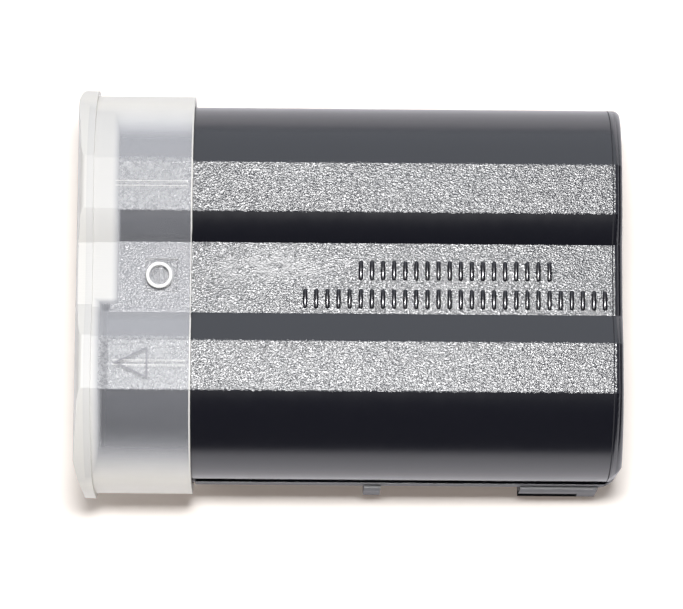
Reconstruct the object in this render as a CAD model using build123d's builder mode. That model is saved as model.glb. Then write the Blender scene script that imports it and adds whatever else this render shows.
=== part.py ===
"""Two-cell camera battery pack with a slip-on terminal cover, in millimetres.

+X points to the closed end, -X to the terminals and +Z up through the lobed face.
The origin is in the middle of the footprint, on the surface that the pack lies on.
"""

import os
from math import atan2, degrees, radians, sqrt, tan

from build123d import *

# Cells, which set the size of the housing around them
cell_diameter = 18.0
cell_length = 49.4  # over the button
cell_edge = 0.6
cell_gap = 0.58  # between the two sleeves
crimp_depth = 0.5
crimp_place = 3.0  # groove under the crimp, from the rim
crimp_lip = 2.6  # width of the rolled rim
button_diameter = 5.8
button_height = 0.7
button_well = 0.4  # depth of the ring-shaped well around the button
sleeve_thickness = 0.08
sleeve_gap = 0.02
sleeve_lap = 0.9  # how far a sleeve's rim stays back from the can's ends
ring_thickness = 0.2
ring_bore = 8.0
ring_margin = 0.6

# Housing of two moulded shells
shell_wall = 0.9
end_wall = 1.3
crown_gap = 0.06  # from a sleeve to the crown above it
crown_flat = 5.1  # width of the flat along the top of each lobe
valley_floor = 7.4  # width of the flat between the lobes
back_corner = 6.5  # radius between the sides and the flat back
seam_height = 8.2  # parting line above the flat back
tub_proud = 0.11  # the lower shell stands this far outside the lobes
seam_gap = 0.26  # width of the groove beside the upper shell's edge
seam_groove = 0.6  # depth of that groove
end_draft = 2.55  # lean of the upper shell's end faces, in degrees
end_round = 0.7  # rounding of the crowns' ends
corner_round = 2.2  # rounding of the closed end's corners
corner_clear = 0.05  # how far the outline with that rounding stays outside the sides
valley_round = 0.8  # rounding of the valley's ends
sink = 0.15  # the lower shell is this much smaller where the cover slides over it

# Terminal end
nose_step = 1.5  # the other half of the upper shell stops this much short of the nose
nose_edge = 2.8  # side of the nose, measured from the middle of the pack
nose_chamfer = 0.4
step_wall = 1.3  # end wall beside the nose
terminal_room = 0.8  # from the cells to that wall
terminal_wall = 1.1
ledge_height = 7.6  # the lower shell's contact ledge, above the flat back
ledge_proud = 1.0  # how far the ledge stands out past the nose
ledge_chamfer = 0.5
slot_width = 2.2
slot_base = 2.1  # lower end of the slots, above the flat back
slot_head = 1.8  # upper end of the slots, below the top of the ledge
slot_pitch = 4.4

# Side and back of the lower shell, with places measured from the closed end
pad_proud = 0.3  # guide tab and latch block stand this far outside the sides
pad_foot = 0.4  # their lower edge, above the back
pad_round = 0.6
tab_place = 26.1  # middle of the guide tab
tab_width = 1.8
latch_place = 10.4  # start of the latch block
latch_length = 8.2
latch_recess_length = 6.3
latch_recess_depth = 0.55
latch_recess_height = 2.2
latch_lip = 0.45
land_place = 33.2  # middle of the stretch where the shells meet with no groove
land_length = 11.5
panel_margin = 4.0  # from the shallow back panel to the closed end
panel_gap = 2.6  # from the panel to the cover's rim
tub_gap = 0.3  # from the cover's rim to the tub's shoulder
panel_width = 23.0
panel_depth = 0.15
panel_corner = 1.5

# Slip-on cover
cover_depth = 12.4
cover_wall = 0.95
cover_clearance = 0.15
cover_end_wall = 0.6  # at the edge of the dome
cover_stop_gap = 0.3  # from the contact ledge to the cover's end wall
cover_dome = 0.9  # how far the end face bulges in the middle
flange_proud = 0.55
flange_thickness = 1.3
flange_round = 0.45
end_bow = 1.3  # how far the end face falls back at its two sides
bow_reach = 8.5  # width of the end face that falls back, on each side
rib_width = 0.5
rib_gap = 0.05  # from the ribs in the cover to the crown flats
rib_margin = 2.3  # from the ribs to the cover's rim
gate_recess = 3.4
gate_recess_depth = 0.25
gate_margin = 1.4  # from the gate recess to the cover's rim
gate_ring_radius = 1.3
gate_ring_width = 0.3
gate_bar = 0.3  # width of the bar across the ring

# Strips and pads
fit_gap = 0.05
strip_thickness = 0.15
strip_width = 4.0
strip_end = 3.0  # how far a strip reaches past a cell's axis
strip_corner = 1.0
sense_width = 2.0
bend_radius = 0.3
joggle_start = 2.0  # where the positive strip steps clear of the other cell
joggle_end = 1.0
pad_thickness = 0.2
pad_margin = 1.5  # how far an insulating pad reaches past its strip
pad_corner = 2.0
foam_thickness = 0.5
foam_width = 6.0
foam_margin = 3.8  # from the foam to the ends of the cells
foam_corner = 1.2
divider_width = 2.0  # rib of the lower shell in the groove between the cells
divider_gap = 0.2
divider_setback = 3.0  # from the thermistor to the rib

# Protection board, standing across the nose
board_width = 12.0
board_thickness = 0.8
board_gap = 0.1  # around the board
board_foot = 1.0  # lower edge above the housing's floor
board_head = 5.0  # upper edge above the cells' axes
contact_width = 2.8
contact_thickness = 0.3
contact_bend = 0.25
contact_overlap = 0.4  # a contact plate reaches this far past its slot, each way
contact_leg = 1.6
chip_pitch = 2.4  # between chips that stand in a row
ic_size = (0.8, 3.0, 1.7)  # chips are given by height, width and length
ic_place = (-3.0, 1.2)  # from the middle of the board and the cells' axes
transistor_size = (0.8, 4.4, 3.0)
transistor_place = (0.0, -2.4)
resistor_size = (0.45, 1.6, 0.8)
resistor_place = (0.0, -5.4)
resistor_count = 3
capacitor_size = (0.7, 1.2, 2.0)
capacitor_place = (1.8, 1.2)
capacitor_count = 2
fuse_size = (0.6, 1.6, 3.2)
fuse_place = (-4.2, -2.4)
thermistor_diameter = 2.4
thermistor_taper = 0.8
thermistor_length = 4.0
thermistor_place = 4.0  # from the cells' terminal ends

# Section of the housing, worked out from the cells
sleeve_radius = cell_diameter / 2 + sleeve_gap + sleeve_thickness
lobe_y = sleeve_radius + cell_gap / 2
crown_rise = sleeve_radius + crown_gap + shell_wall
lobe_radius = sqrt(crown_rise**2 + (crown_flat / 2) ** 2)
valley_rise = sqrt(lobe_radius**2 - (lobe_y - valley_floor / 2) ** 2)
back_z = cover_clearance + cover_wall + flange_proud
floor_z = back_z + shell_wall
axis_z = floor_z + foam_thickness + fit_gap + sleeve_radius
crown_z = axis_z + crown_rise
valley_z = axis_z + valley_rise
seam_z = back_z + seam_height
ledge_z = back_z + ledge_height
half_side = lobe_y + lobe_radius
edge_y = lobe_y + sqrt(lobe_radius**2 - (seam_z - axis_z) ** 2)  # upper shell's side at the parting line
tub_z = back_z - tub_proud
cover_height = crown_z + cover_clearance + cover_wall + flange_proud

# Places along the pack, from the cover's end face to the closed end
link_room = strip_thickness + pad_thickness + fit_gap
nose_setback = cover_dome + cover_end_wall + cover_stop_gap + ledge_proud
total_length = nose_setback + nose_step + step_wall + terminal_room + cell_length + link_room + end_wall
closed_x = total_length / 2
cover_x = -closed_x
dome_edge_x = cover_x + cover_dome
cover_inner_x = dome_edge_x + cover_end_wall
cover_rim_x = cover_x + cover_depth
ledge_x = cover_inner_x + cover_stop_gap
nose_x = ledge_x + ledge_proud
step_x = nose_x + nose_step
bay_start_x = step_x + step_wall
cell_start_x = bay_start_x + terminal_room
cell_end_x = cell_start_x + cell_length
bay_end_x = closed_x - end_wall
nose_bay_x = nose_x + terminal_wall
ledge_bay_x = ledge_x + terminal_wall
lean = tan(radians(end_draft))
reach = 2 * total_length  # larger than the pack, for cutting tools

# Places of the board, the contacts and what lies in the grooves between the cells
board_front_x = nose_bay_x + board_gap
board_back_x = board_front_x + board_thickness
board_low_z = floor_z + board_foot
board_high_z = axis_z + board_head
board_edge_y = -nose_edge - terminal_wall - board_gap
board_place = board_edge_y - board_width / 2
slot_height = ledge_height - slot_base - slot_head
slot_z = back_z + slot_base + slot_height / 2
slot_places = [(board_place + slot_pitch * index, slot_z) for index in (-1, 0, 1)]
thermistor_x = cell_start_x + thermistor_place
divider_x = thermistor_x + thermistor_length + divider_setback
divider_z = axis_z - sqrt(sleeve_radius**2 - (lobe_y - divider_width / 2) ** 2) - divider_gap
sense_z = axis_z + sqrt(sleeve_radius**2 - (lobe_y - sense_width / 2) ** 2) + fit_gap

os.makedirs("parts", exist_ok=True)


def section(grow):
    """Give the housing's lobed section, grown outward by grow, with Y and Z as its axes."""
    radius = lobe_radius + grow
    crown = crown_rise + grow
    valley = valley_rise + grow
    crown_half = sqrt(radius**2 - crown**2)
    slope_reach = sqrt(radius**2 - valley**2)
    crown_angle = degrees(atan2(crown, crown_half))
    valley_angle = degrees(atan2(valley, slope_reach))
    side = lobe_y + radius
    base = back_z - grow
    corner = back_corner + grow
    with BuildSketch() as outline:
        with BuildLine():
            back = Line((0, base), (side - corner, base))
            CenterArc((side - corner, base + corner), corner, -90, 90)
            Line((side, base + corner), (side, axis_z))
            outer = CenterArc((lobe_y, axis_z), radius, 0, crown_angle)
            Line(outer @ 1, (lobe_y - crown_half, axis_z + crown))
            slope = CenterArc((lobe_y, axis_z), radius, 180 - crown_angle, crown_angle - valley_angle)
            middle = Line(slope @ 1, (0, axis_z + valley))
            Line(middle @ 1, back @ 0)
        make_face()
        mirror(about=Plane.YZ)
    return outline.sketch


def lean_x(x, direction, z):
    """Give where an end face that leans inward from x at the parting line is at height z."""
    return x - direction * lean * (z - seam_z)


def past_end(x, direction):
    """Give what lies past a leaning end face, with X and Z as the sketch's axes."""
    low = seam_z - reach
    high = seam_z + reach
    with BuildSketch() as beyond:
        with BuildLine():
            Polyline(
                (lean_x(x, direction, low), low),
                (lean_x(x, direction, high), high),
                (x + direction * 2 * reach, high),
                (x + direction * 2 * reach, low),
                close=True,
            )
        make_face()
    return beyond.sketch


def finish(piece, label):
    """Label a finished piece and write it to its own file."""
    piece.part.label = label
    export_step(piece.part, f"parts/{label}.step")


# Space inside the housing: the cells' bay, the nose's bay and the ledge's bay
with BuildPart() as cavity:
    with BuildSketch(Plane.YZ.offset(bay_start_x)):
        add(section(-shell_wall))
    extrude(amount=bay_end_x - bay_start_x)
    with BuildSketch(Plane.YZ.offset(nose_bay_x)):
        add(section(-shell_wall))
        with Locations((-nose_edge - terminal_wall, axis_z)):
            Rectangle(reach, reach, align=(Align.MAX, Align.CENTER), mode=Mode.INTERSECT)
    extrude(amount=bay_start_x - nose_bay_x)
    with BuildSketch(Plane.YZ.offset(ledge_bay_x)):
        add(section(-shell_wall))
        with Locations((0, ledge_z - terminal_wall)):
            Rectangle(reach, reach, align=(Align.CENTER, Align.MAX), mode=Mode.INTERSECT)
    extrude(amount=bay_start_x - ledge_bay_x)


def flat_profile(top_z, rounding):
    """Give what lies under a flat of the upper shell, with X and Z as the sketch's axes."""
    with BuildSketch() as under:
        with BuildLine():
            Polyline(
                (lean_x(nose_x, -1, seam_z), seam_z),
                (lean_x(closed_x, 1, seam_z), seam_z),
                (lean_x(closed_x, 1, top_z), top_z),
                (lean_x(nose_x, -1, top_z), top_z),
                close=True,
            )
        make_face()
        fillet(under.vertices().group_by(Axis.Y)[-1], rounding)
    return under.sketch


# One lobe of the upper shell: a round bar with leaning ends, a flat on top and a rounded outer corner
with BuildPart() as lobe:
    with BuildSketch(Plane.YZ.offset(nose_x - lobe_radius)):
        with Locations((lobe_y, axis_z)):
            Circle(lobe_radius)
    extrude(amount=closed_x - nose_x + 2 * lobe_radius)
    with BuildSketch(Plane.XZ):
        add(past_end(closed_x, 1))
        add(past_end(nose_x, -1))
    extrude(amount=reach, both=True, mode=Mode.SUBTRACT)
    rims = lobe.edges().filter_by(GeomType.ELLIPSE).sort_by(Axis.X)
    fillet(rims[-1], end_round)
    rims = lobe.edges().filter_by(GeomType.ELLIPSE).sort_by(Axis.X)
    chamfer(rims[0], nose_chamfer)
    with BuildSketch(Plane.XZ):
        add(flat_profile(crown_z, end_round))
    extrude(amount=reach, both=True, mode=Mode.INTERSECT)
    with BuildSketch(Plane.XY.offset(seam_z)) as plan:
        with Locations((closed_x + corner_clear, half_side + corner_clear)):
            Rectangle(reach, reach, align=(Align.MAX, Align.MAX))
        fillet(plan.vertices().group_by(Axis.X)[-1].sort_by(Axis.Y)[-1], corner_round)
    extrude(amount=crown_z - seam_z, mode=Mode.INTERSECT)

# Upper shell: two lobes, the valley between them and the stepped nose
with BuildPart() as upper_shell:
    add(lobe.part)
    mirror(lobe.part, about=Plane.XZ)
    with BuildSketch(Plane.XZ):
        add(flat_profile(valley_z, valley_round))
    extrude(amount=valley_floor / 2, both=True)
    with BuildSketch(Plane.XZ.offset(nose_edge)):
        add(past_end(step_x, -1))
    extrude(amount=-reach, mode=Mode.SUBTRACT)
    add(cavity.part, mode=Mode.SUBTRACT)
finish(upper_shell, "upper_shell")

tub_side = half_side + tub_proud
tub_x = cover_rim_x + tub_gap
latch_x = closed_x - latch_place
panel_start_x = cover_rim_x + panel_gap
panel_end_x = closed_x - panel_margin

# Lower shell: a tub with the contact ledge, the guide tab, the latch block and a flat back
with BuildPart() as lower_shell:
    with BuildSketch(Plane.YZ.offset(tub_x)):
        add(section(tub_proud))
    extrude(amount=closed_x - tub_x)
    split(bisect_by=Plane.XY.offset(seam_z), keep=Keep.BOTTOM)
    closed_face = lower_shell.faces().sort_by(Axis.X)[-1]
    fillet(closed_face.edges().sort_by(Axis.Z)[:-1], corner_round)
    with BuildSketch(Plane.YZ.offset(nose_x)):
        add(section(-sink))
        with Locations((0, seam_z)):
            Rectangle(reach, reach, align=(Align.CENTER, Align.MAX), mode=Mode.INTERSECT)
    extrude(amount=tub_x - nose_x)
    with BuildSketch(Plane.XY.offset(ledge_z)):
        with Locations((step_x, -nose_edge)):
            Rectangle(reach, reach, align=(Align.MAX, Align.MIN))
    extrude(amount=reach, mode=Mode.SUBTRACT)
    with BuildSketch(Plane.YZ.offset(ledge_x)):
        add(section(-sink))
        with Locations((0, ledge_z)):
            Rectangle(reach, reach, align=(Align.CENTER, Align.MAX), mode=Mode.INTERSECT)
    extrude(amount=nose_x - ledge_x)
    ledge_face = lower_shell.faces().sort_by(Axis.X)[0]
    chamfer(ledge_face.edges().sort_by(Axis.Z)[:-1], ledge_chamfer)
    for start_x, length in ((closed_x - tab_place - tab_width / 2, tab_width), (latch_x, latch_length)):
        with BuildSketch(Plane.YZ.offset(start_x)) as pad:
            with Locations((-tub_side - pad_proud, tub_z + pad_foot)):
                Rectangle(back_corner, back_corner, align=(Align.MIN, Align.MIN))
            fillet(pad.vertices().group_by(Axis.X)[0].sort_by(Axis.Y)[0], pad_round)
        extrude(amount=length)
    add(cavity.part, mode=Mode.SUBTRACT)
    with BuildSketch(Plane.XZ.offset(tub_side + pad_proud)):
        with Locations((latch_x, tub_z + pad_foot + latch_lip)):
            Rectangle(latch_recess_length, latch_recess_height, align=(Align.MIN, Align.MIN))
    extrude(amount=-latch_recess_depth, mode=Mode.SUBTRACT)
    with BuildSketch(Plane.YZ.offset(ledge_x)):
        with Locations(*slot_places):
            SlotOverall(slot_height, slot_width, rotation=90)
    extrude(amount=terminal_wall, mode=Mode.SUBTRACT)
    with BuildSketch(Plane.XY.offset(seam_z)):
        with Locations((tub_x, -edge_y), (tub_x, edge_y)):
            Rectangle(closed_x - corner_round - tub_x, 2 * seam_gap, align=(Align.MIN, Align.CENTER))
        with Locations((tub_x, 0)):
            Rectangle(reach, 2 * edge_y, align=(Align.MIN, Align.CENTER), mode=Mode.SUBTRACT)
        with Locations((closed_x - land_place, 0)):
            Rectangle(land_length, reach, mode=Mode.SUBTRACT)
    extrude(amount=-seam_groove, mode=Mode.SUBTRACT)
    with BuildSketch(Plane.XY.offset(floor_z)):
        with Locations((divider_x, 0)):
            Rectangle(cell_end_x - divider_gap - divider_x, divider_width, align=(Align.MIN, Align.CENTER))
    extrude(amount=divider_z - floor_z)
    with BuildSketch(Plane.XY.offset(tub_z)):
        with Locations(((panel_start_x + panel_end_x) / 2, 0)):
            RectangleRounded(panel_end_x - panel_start_x, panel_width, panel_corner)
    extrude(amount=panel_depth, mode=Mode.SUBTRACT)
finish(lower_shell, "lower_shell")

rib_length = cover_rim_x - rib_margin - cover_inner_x
gate_x = cover_rim_x - gate_margin - gate_recess / 2
bow_x = cover_x - corner_clear
bow_y = half_side + cover_clearance + cover_wall + flange_proud + corner_clear - bow_reach

# Slip-on cover: a thin lobed sleeve with a domed end, a flange, ribs and a gate recess
with BuildPart() as terminal_cover:
    with BuildSketch(Plane.YZ.offset(cover_x)):
        add(section(cover_clearance + cover_wall))
    extrude(amount=cover_depth)
    with BuildSketch(Plane.YZ.offset(cover_x)):
        add(section(cover_clearance + cover_wall + flange_proud))
    extrude(amount=cover_dome + flange_thickness)
    with BuildSketch(Plane.XZ) as bulge:
        with BuildLine():
            dome = ThreePointArc((dome_edge_x, 0), (cover_x, cover_height / 2), (dome_edge_x, cover_height))
            Polyline(dome @ 1, (cover_rim_x, cover_height), (cover_rim_x, 0), dome @ 0)
        make_face()
        fillet(bulge.vertices().group_by(Axis.X)[0], flange_round)
    extrude(amount=reach, both=True, mode=Mode.INTERSECT)
    with BuildSketch(Plane.XY):
        with Locations((bow_x, 0)):
            Rectangle(cover_depth, 2 * bow_y, align=(Align.MIN, Align.CENTER))
        with Locations((bow_x + end_bow, bow_y), (bow_x + end_bow, -bow_y)):
            Ellipse(end_bow, bow_reach)
            Rectangle(cover_depth, 2 * bow_reach, align=(Align.MIN, Align.CENTER))
    extrude(amount=reach, mode=Mode.INTERSECT)
    with BuildSketch(Plane.YZ.offset(cover_inner_x)):
        add(section(cover_clearance))
    extrude(amount=reach, mode=Mode.SUBTRACT)
    with BuildSketch(Plane.XY.offset(crown_z + rib_gap)):
        with Locations((cover_inner_x, -lobe_y), (cover_inner_x, lobe_y)):
            Rectangle(rib_length, rib_width, align=(Align.MIN, Align.CENTER))
    extrude(amount=cover_clearance + cover_wall / 2 - rib_gap)
    with BuildSketch(Plane.XY.offset(valley_z + cover_clearance + cover_wall)):
        with Locations((gate_x, 0)):
            Rectangle(gate_recess, gate_recess)
            Circle(gate_ring_radius, mode=Mode.SUBTRACT)
            Circle(gate_ring_radius - gate_ring_width)
            Rectangle(gate_bar, 2 * gate_ring_radius, mode=Mode.SUBTRACT)
    extrude(amount=-gate_recess_depth, mode=Mode.SUBTRACT)
finish(terminal_cover, "terminal_cover")


def cell_profile():
    """Give half of a cell's section, with its length from the base along X and its radius along Y."""
    radius = cell_diameter / 2
    rim = cell_length - button_height
    with BuildSketch() as half:
        with BuildLine():
            Polyline(
                (0, 0),
                (0, radius),
                (rim - crimp_place - crimp_depth, radius),
                (rim - crimp_place, radius - crimp_depth),
                (rim - crimp_place + crimp_depth, radius),
                (rim, radius),
                (rim, radius - crimp_lip),
                (rim - button_well, radius - crimp_lip),
                (rim - button_well, button_diameter / 2),
                (cell_length, button_diameter / 2),
                (cell_length, 0),
                close=True,
            )
        make_face()
        corners = half.vertices().group_by(Axis.Y)[-1].sort_by(Axis.X)
        chamfer([corners[0], corners[-1]], cell_edge)
    return half.sketch


def tube_profile(start, end, inner, outer):
    """Give half of a tube's section, with its length along X and its radius along Y."""
    with BuildSketch() as half:
        with Locations((start, inner)):
            Rectangle(end - start, outer - inner, align=(Align.MIN, Align.MIN))
    return half.sketch


# The cells face opposite ways: a with its button at the terminals, b with its button at the closed end
cell_planes = {
    "a": Plane(origin=(cell_end_x, lobe_y, axis_z), x_dir=(-1, 0, 0), z_dir=(0, 1, 0)),
    "b": Plane(origin=(cell_start_x, -lobe_y, axis_z), x_dir=(1, 0, 0), z_dir=(0, -1, 0)),
}
rim_place = cell_length - button_height
round_pieces = {
    "cell": cell_profile(),
    "cell_sleeve": tube_profile(
        sleeve_lap, rim_place - sleeve_lap, cell_diameter / 2 + sleeve_gap, sleeve_radius
    ),
    "insulator_ring": tube_profile(
        rim_place, rim_place + ring_thickness, ring_bore / 2, cell_diameter / 2 - ring_margin
    ),
}
for suffix, plane in cell_planes.items():
    for kind, profile in round_pieces.items():
        with BuildPart() as round_piece:
            with BuildSketch(plane):
                add(profile)
            revolve(axis=Axis(plane.origin, (1, 0, 0)))
        finish(round_piece, f"{kind}_{suffix}")

# Nickel strip that joins the two cells, and the pad between it and the end wall
with BuildPart() as series_link:
    with BuildSketch(Plane.YZ.offset(cell_end_x)):
        with Locations((0, axis_z)):
            RectangleRounded(2 * (lobe_y + strip_end), strip_width, strip_corner)
    extrude(amount=strip_thickness)
finish(series_link, "series_link")

with BuildPart() as link_insulator:
    with BuildSketch(Plane.YZ.offset(cell_end_x + strip_thickness)):
        with Locations((0, axis_z)):
            RectangleRounded(
                2 * (lobe_y + strip_end + pad_margin), strip_width + 2 * pad_margin, pad_corner
            )
    extrude(amount=pad_thickness)
finish(link_insulator, "link_insulator")

# Paper on the base of cell b, notched for the negative strip
with BuildPart() as base_insulator:
    with BuildSketch(Plane.YZ.offset(cell_start_x)):
        with Locations((-lobe_y, axis_z)):
            Circle(cell_diameter / 2 - ring_margin)
        with Locations((-lobe_y, axis_z - strip_end - pad_margin)):
            Rectangle(
                strip_width + pad_margin,
                cell_diameter,
                align=(Align.CENTER, Align.MIN),
                mode=Mode.SUBTRACT,
            )
    extrude(amount=-pad_thickness)
finish(base_insulator, "base_insulator")

# Strip from the button of cell a, stepped over the paper on cell b and folded to the board
tab_x = cell_start_x - strip_thickness / 2
over_x = tab_x - pad_thickness - fit_gap
fold_y = board_edge_y - bend_radius - strip_thickness
with BuildPart() as positive_tab:
    with BuildSketch(Plane.XY.offset(axis_z - strip_width / 2)):
        with BuildLine():
            FilletPolyline(
                (tab_x, lobe_y + strip_end),
                (tab_x, joggle_start),
                (over_x, joggle_end),
                (over_x, fold_y),
                (board_back_x, fold_y),
                radius=bend_radius,
            )
        trace(line_width=strip_thickness)
    extrude(amount=strip_width)
finish(positive_tab, "positive_tab")

with BuildPart() as tab_insulator:
    with BuildSketch(Plane.YZ.offset(cell_start_x - strip_thickness)):
        with Locations((lobe_y, axis_z)):
            RectangleRounded(2 * (strip_end + pad_margin), strip_width + 2 * pad_margin, pad_corner)
    extrude(amount=-pad_thickness)
finish(tab_insulator, "tab_insulator")

# Strip from the base of cell b, folded over to the upper part of the board
with BuildPart() as negative_tab:
    with BuildSketch(Plane.XZ.offset(lobe_y - strip_width / 2)):
        with BuildLine():
            FilletPolyline(
                (tab_x, axis_z - strip_end),
                (tab_x, board_high_z - strip_thickness - bend_radius),
                (board_back_x, board_high_z - strip_thickness - bend_radius),
                radius=bend_radius,
            )
        trace(line_width=strip_thickness)
    extrude(amount=strip_width)
finish(negative_tab, "negative_tab")

# Sense strip from the link along the groove between the cells, then across to the board
sense_mid_z = sense_z + strip_thickness / 2
sense_foot_z = axis_z + strip_width / 2 + bend_radius
with BuildPart() as midpoint_tab:
    with BuildSketch(Plane.XZ.offset(-sense_width / 2)):
        with BuildLine():
            FilletPolyline(
                (cell_end_x + strip_thickness / 2, axis_z + strip_width / 2),
                (cell_end_x + strip_thickness / 2, sense_mid_z),
                (over_x, sense_mid_z),
                radius=bend_radius,
            )
        trace(line_width=strip_thickness)
    extrude(amount=sense_width)
    with BuildSketch(Plane.XY.offset(sense_foot_z)):
        with BuildLine():
            FilletPolyline(
                (over_x, sense_width / 2),
                (over_x, fold_y),
                (board_back_x, fold_y),
                radius=bend_radius,
            )
        trace(line_width=strip_thickness)
    extrude(amount=sense_z + strip_thickness - sense_foot_z)
finish(midpoint_tab, "midpoint_tab")

# Protection board and the chips on the side that faces the cells
with BuildPart() as protection_board:
    with BuildSketch(Plane.YZ.offset(board_front_x)):
        add(section(-shell_wall - board_gap))
        with Locations((board_place, (board_low_z + board_high_z) / 2)):
            Rectangle(board_width, board_high_z - board_low_z, mode=Mode.INTERSECT)
    extrude(amount=board_thickness)
finish(protection_board, "protection_board")


def chip_row(place, count):
    """Give the places of count chips in a row across the board, centred on place."""
    across, up = place
    middle = (count - 1) / 2
    return [(board_place + across + (index - middle) * chip_pitch, axis_z + up) for index in range(count)]


chips = {
    "protection_ic": (ic_size, chip_row(ic_place, 1)),
    "switch_transistors": (transistor_size, chip_row(transistor_place, 1)),
    "board_resistors": (resistor_size, chip_row(resistor_place, resistor_count)),
    "board_capacitors": (capacitor_size, chip_row(capacitor_place, capacitor_count)),
    "chip_fuse": (fuse_size, chip_row(fuse_place, 1)),
}
for label, (size, places) in chips.items():
    height, width, length = size
    with BuildPart() as chip:
        with BuildSketch(Plane.YZ.offset(board_back_x)):
            with Locations(*places):
                Rectangle(width, length)
        extrude(amount=height)
    finish(chip, label)

# Folded contact plates between the slots and the board
contact_x = ledge_bay_x + fit_gap + contact_thickness / 2
leg_x = board_front_x - contact_thickness / 2
contact_high_z = slot_z + slot_height / 2 + contact_overlap
contact_low_z = slot_z - slot_height / 2 - contact_overlap
contact_labels = ("contact_negative", "contact_signal", "contact_positive")
for label, (place_y, _) in zip(contact_labels, slot_places):
    with BuildPart() as contact:
        with BuildSketch(Plane.XZ.offset(-place_y - contact_width / 2)):
            with BuildLine():
                FilletPolyline(
                    (contact_x, contact_high_z),
                    (contact_x, contact_low_z + contact_thickness / 2),
                    (leg_x, contact_low_z + contact_thickness / 2),
                    (leg_x, contact_low_z + contact_leg),
                    radius=contact_bend,
                )
            trace(line_width=contact_thickness)
        extrude(amount=contact_width)
    finish(contact, label)

# Thermistor bead in the lower groove between the cells
bead_radius = thermistor_diameter / 2
bead_z = axis_z - sqrt((sleeve_radius + bead_radius + fit_gap) ** 2 - lobe_y**2)
with BuildPart() as thermistor:
    with BuildSketch(Plane.YZ.offset(thermistor_x)):
        with Locations((0, bead_z)):
            Circle(bead_radius)
    extrude(amount=thermistor_length)
    chamfer(thermistor.edges().filter_by(GeomType.CIRCLE), thermistor_taper)
finish(thermistor, "thermistor")

# Foam pads between the cells and the floor of the lower shell
foam_length = cell_length - 2 * foam_margin
for label, place_y in (("adhesive_pad_a", lobe_y), ("adhesive_pad_b", -lobe_y)):
    with BuildPart() as foam:
        with BuildSketch(Plane.XY.offset(floor_z)):
            with Locations(((cell_start_x + cell_end_x) / 2, place_y)):
                RectangleRounded(foam_length, foam_width, foam_corner)
        extrude(amount=foam_thickness)
    finish(foam, label)
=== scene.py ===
"""Looks of a camera battery pack with a frosted terminal cover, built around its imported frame.

Lengths in the dataclasses are in millimetres and are turned to metres where they are used. Values whose
names end in _x or _z are places on an axis in metres, as the frame gives them.
"""
import logging
import math
from dataclasses import dataclass
from enum import Enum

import bpy
from mathutils import Matrix, Vector


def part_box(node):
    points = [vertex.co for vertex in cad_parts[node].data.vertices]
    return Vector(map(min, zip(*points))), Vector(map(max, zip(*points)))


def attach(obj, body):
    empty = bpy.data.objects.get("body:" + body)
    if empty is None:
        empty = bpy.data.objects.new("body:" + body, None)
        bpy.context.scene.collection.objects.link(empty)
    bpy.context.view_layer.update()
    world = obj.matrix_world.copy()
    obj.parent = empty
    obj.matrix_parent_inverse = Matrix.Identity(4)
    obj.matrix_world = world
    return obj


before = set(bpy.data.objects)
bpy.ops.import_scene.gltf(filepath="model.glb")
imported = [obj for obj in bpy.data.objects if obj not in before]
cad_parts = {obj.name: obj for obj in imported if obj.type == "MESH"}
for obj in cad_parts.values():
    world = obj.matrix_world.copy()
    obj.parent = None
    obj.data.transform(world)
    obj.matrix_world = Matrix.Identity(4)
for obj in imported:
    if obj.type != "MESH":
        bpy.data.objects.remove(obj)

LOG = logging.getLogger("camera_battery")
MM = 0.001
PACK_BODY = "pack"
COVER_BODY = "cover"
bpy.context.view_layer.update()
SMOOTH_ANGLE = math.radians(50)

# Sockets of a Mix node by number, because their names repeat for each kind of value
FACTOR = 0
NUMBER_A = 2
NUMBER_B = 3
COLOUR_A = 6
COLOUR_B = 7
MIXED_NUMBER = 0
MIXED_COLOUR = 2


class Grain(Enum):
    """The pattern that breaks up a finish."""

    CLOUDY = "ShaderNodeTexNoise"
    PITTED = "ShaderNodeTexVoronoi"


def linear(hex_colour: str) -> tuple[float, float, float, float]:
    """Turn an sRGB hex colour to linear RGBA.

    Args:
        hex_colour: Six hex digits after a hash sign.

    Returns:
        Linear red, green and blue, with an alpha of one.
    """
    channels = []
    for start in (1, 3, 5):
        value = int(hex_colour[start:start + 2], 16) / 255
        channels.append(value / 12.92 if value <= 0.04045 else ((value + 0.055) / 1.055) ** 2.4)
    return (*channels, 1.0)


def add_node(
    tree: bpy.types.NodeTree,
    kind: str,
    values: dict | None = None,
    links: dict | None = None,
    **settings: object,
) -> bpy.types.Node:
    """Add a node with its settings, socket values and incoming links.

    Args:
        tree: The node tree that gets the node.
        kind: The node's type name.
        values: Constant values by input name or index.
        links: Output sockets by the input name or index that they feed.
        **settings: Attributes of the node itself.

    Returns:
        The new node.
    """
    node = tree.nodes.new(kind)
    for name, value in settings.items():
        setattr(node, name, value)
    for socket, value in (values or {}).items():
        node.inputs[socket].default_value = value
    for socket, source in (links or {}).items():
        tree.links.new(source, node.inputs[socket])
    return node


def deselect() -> None:
    """Deselect every object before an operator acts."""
    bpy.ops.object.select_all(action="DESELECT")


def select_only(*pieces: bpy.types.Object) -> None:
    """Select some pieces and nothing else.

    Args:
        *pieces: The pieces, of which the first becomes active.
    """
    deselect()
    for piece in pieces:
        piece.select_set(True)
    bpy.context.view_layer.objects.active = pieces[0]


def settle(piece: bpy.types.Object, name: str, body: str) -> bpy.types.Object:
    """Put a finished piece's place in its mesh, name it and make it ride.

    Args:
        piece: The modelled object.
        name: The piece's name.
        body: The CAD body that carries it.

    Returns:
        The same piece.
    """
    select_only(piece)
    bpy.ops.object.transform_apply(location=True, rotation=True, scale=True)
    piece.name = name
    piece.data.name = name
    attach(piece, body)
    LOG.info("%s: %d faces on %s", name, len(piece.data.polygons), body)
    return piece


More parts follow.
